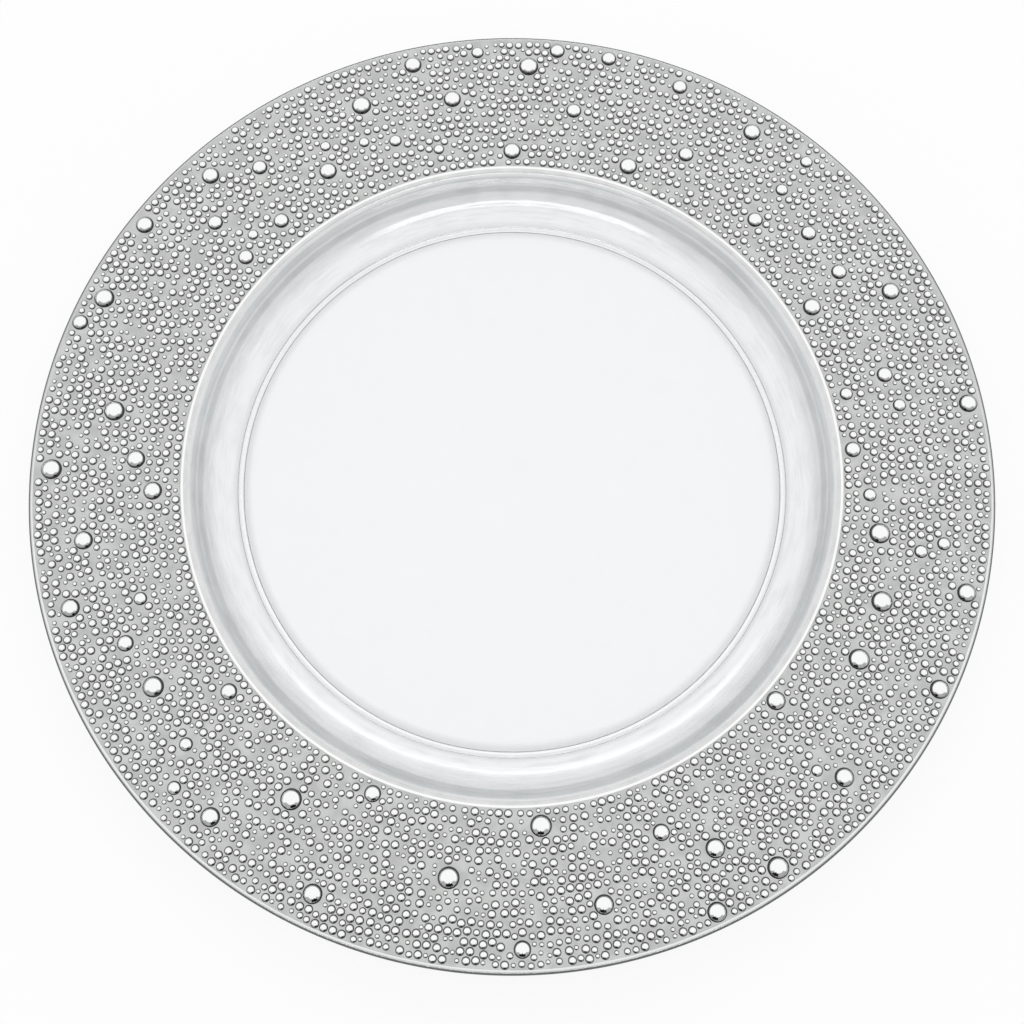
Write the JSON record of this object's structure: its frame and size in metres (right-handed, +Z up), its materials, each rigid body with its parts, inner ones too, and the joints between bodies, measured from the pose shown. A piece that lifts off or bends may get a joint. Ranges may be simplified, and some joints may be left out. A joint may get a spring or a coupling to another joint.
{
  "type": "charger plate",
  "caption": "Round clear glass charger plate with a shallow flat well, a low foot ring and a wide silvered rim set all over with small raised silver beads and scattered larger ones.",
  "frame": {"origin": "centre of the face that the foot ring rests on", "axes": "+Z up along the plate's axis; +Y to the back and +X to the right, seen from the front at -Y"},
  "size_m": [0.33, 0.33, 0.0223],
  "materials": {
    "glass": "clear, fire polished",
    "silver": "silvered, slightly soft",
    "beads": "silvered, bright"
  },
  "bodies": {
    "root": {"glass_plate": "glass", "silver_layer": "silver", "largest_beads": "beads", "large_beads": "beads", "middle_beads": "beads", "lesser_beads": "beads", "least_beads": "beads", "small_beads_back_right": "beads", "small_beads_back_left": "beads", "small_beads_front_left": "beads", "small_beads_front_right": "beads", "fine_beads_back_right": "beads", "fine_beads_back_left": "beads", "fine_beads_front_left": "beads", "fine_beads_front_right": "beads", "seed_beads_back_right": "beads", "seed_beads_back_left": "beads", "seed_beads_front_left": "beads", "seed_beads_front_right": "beads"}
  },
  "joints": []
}
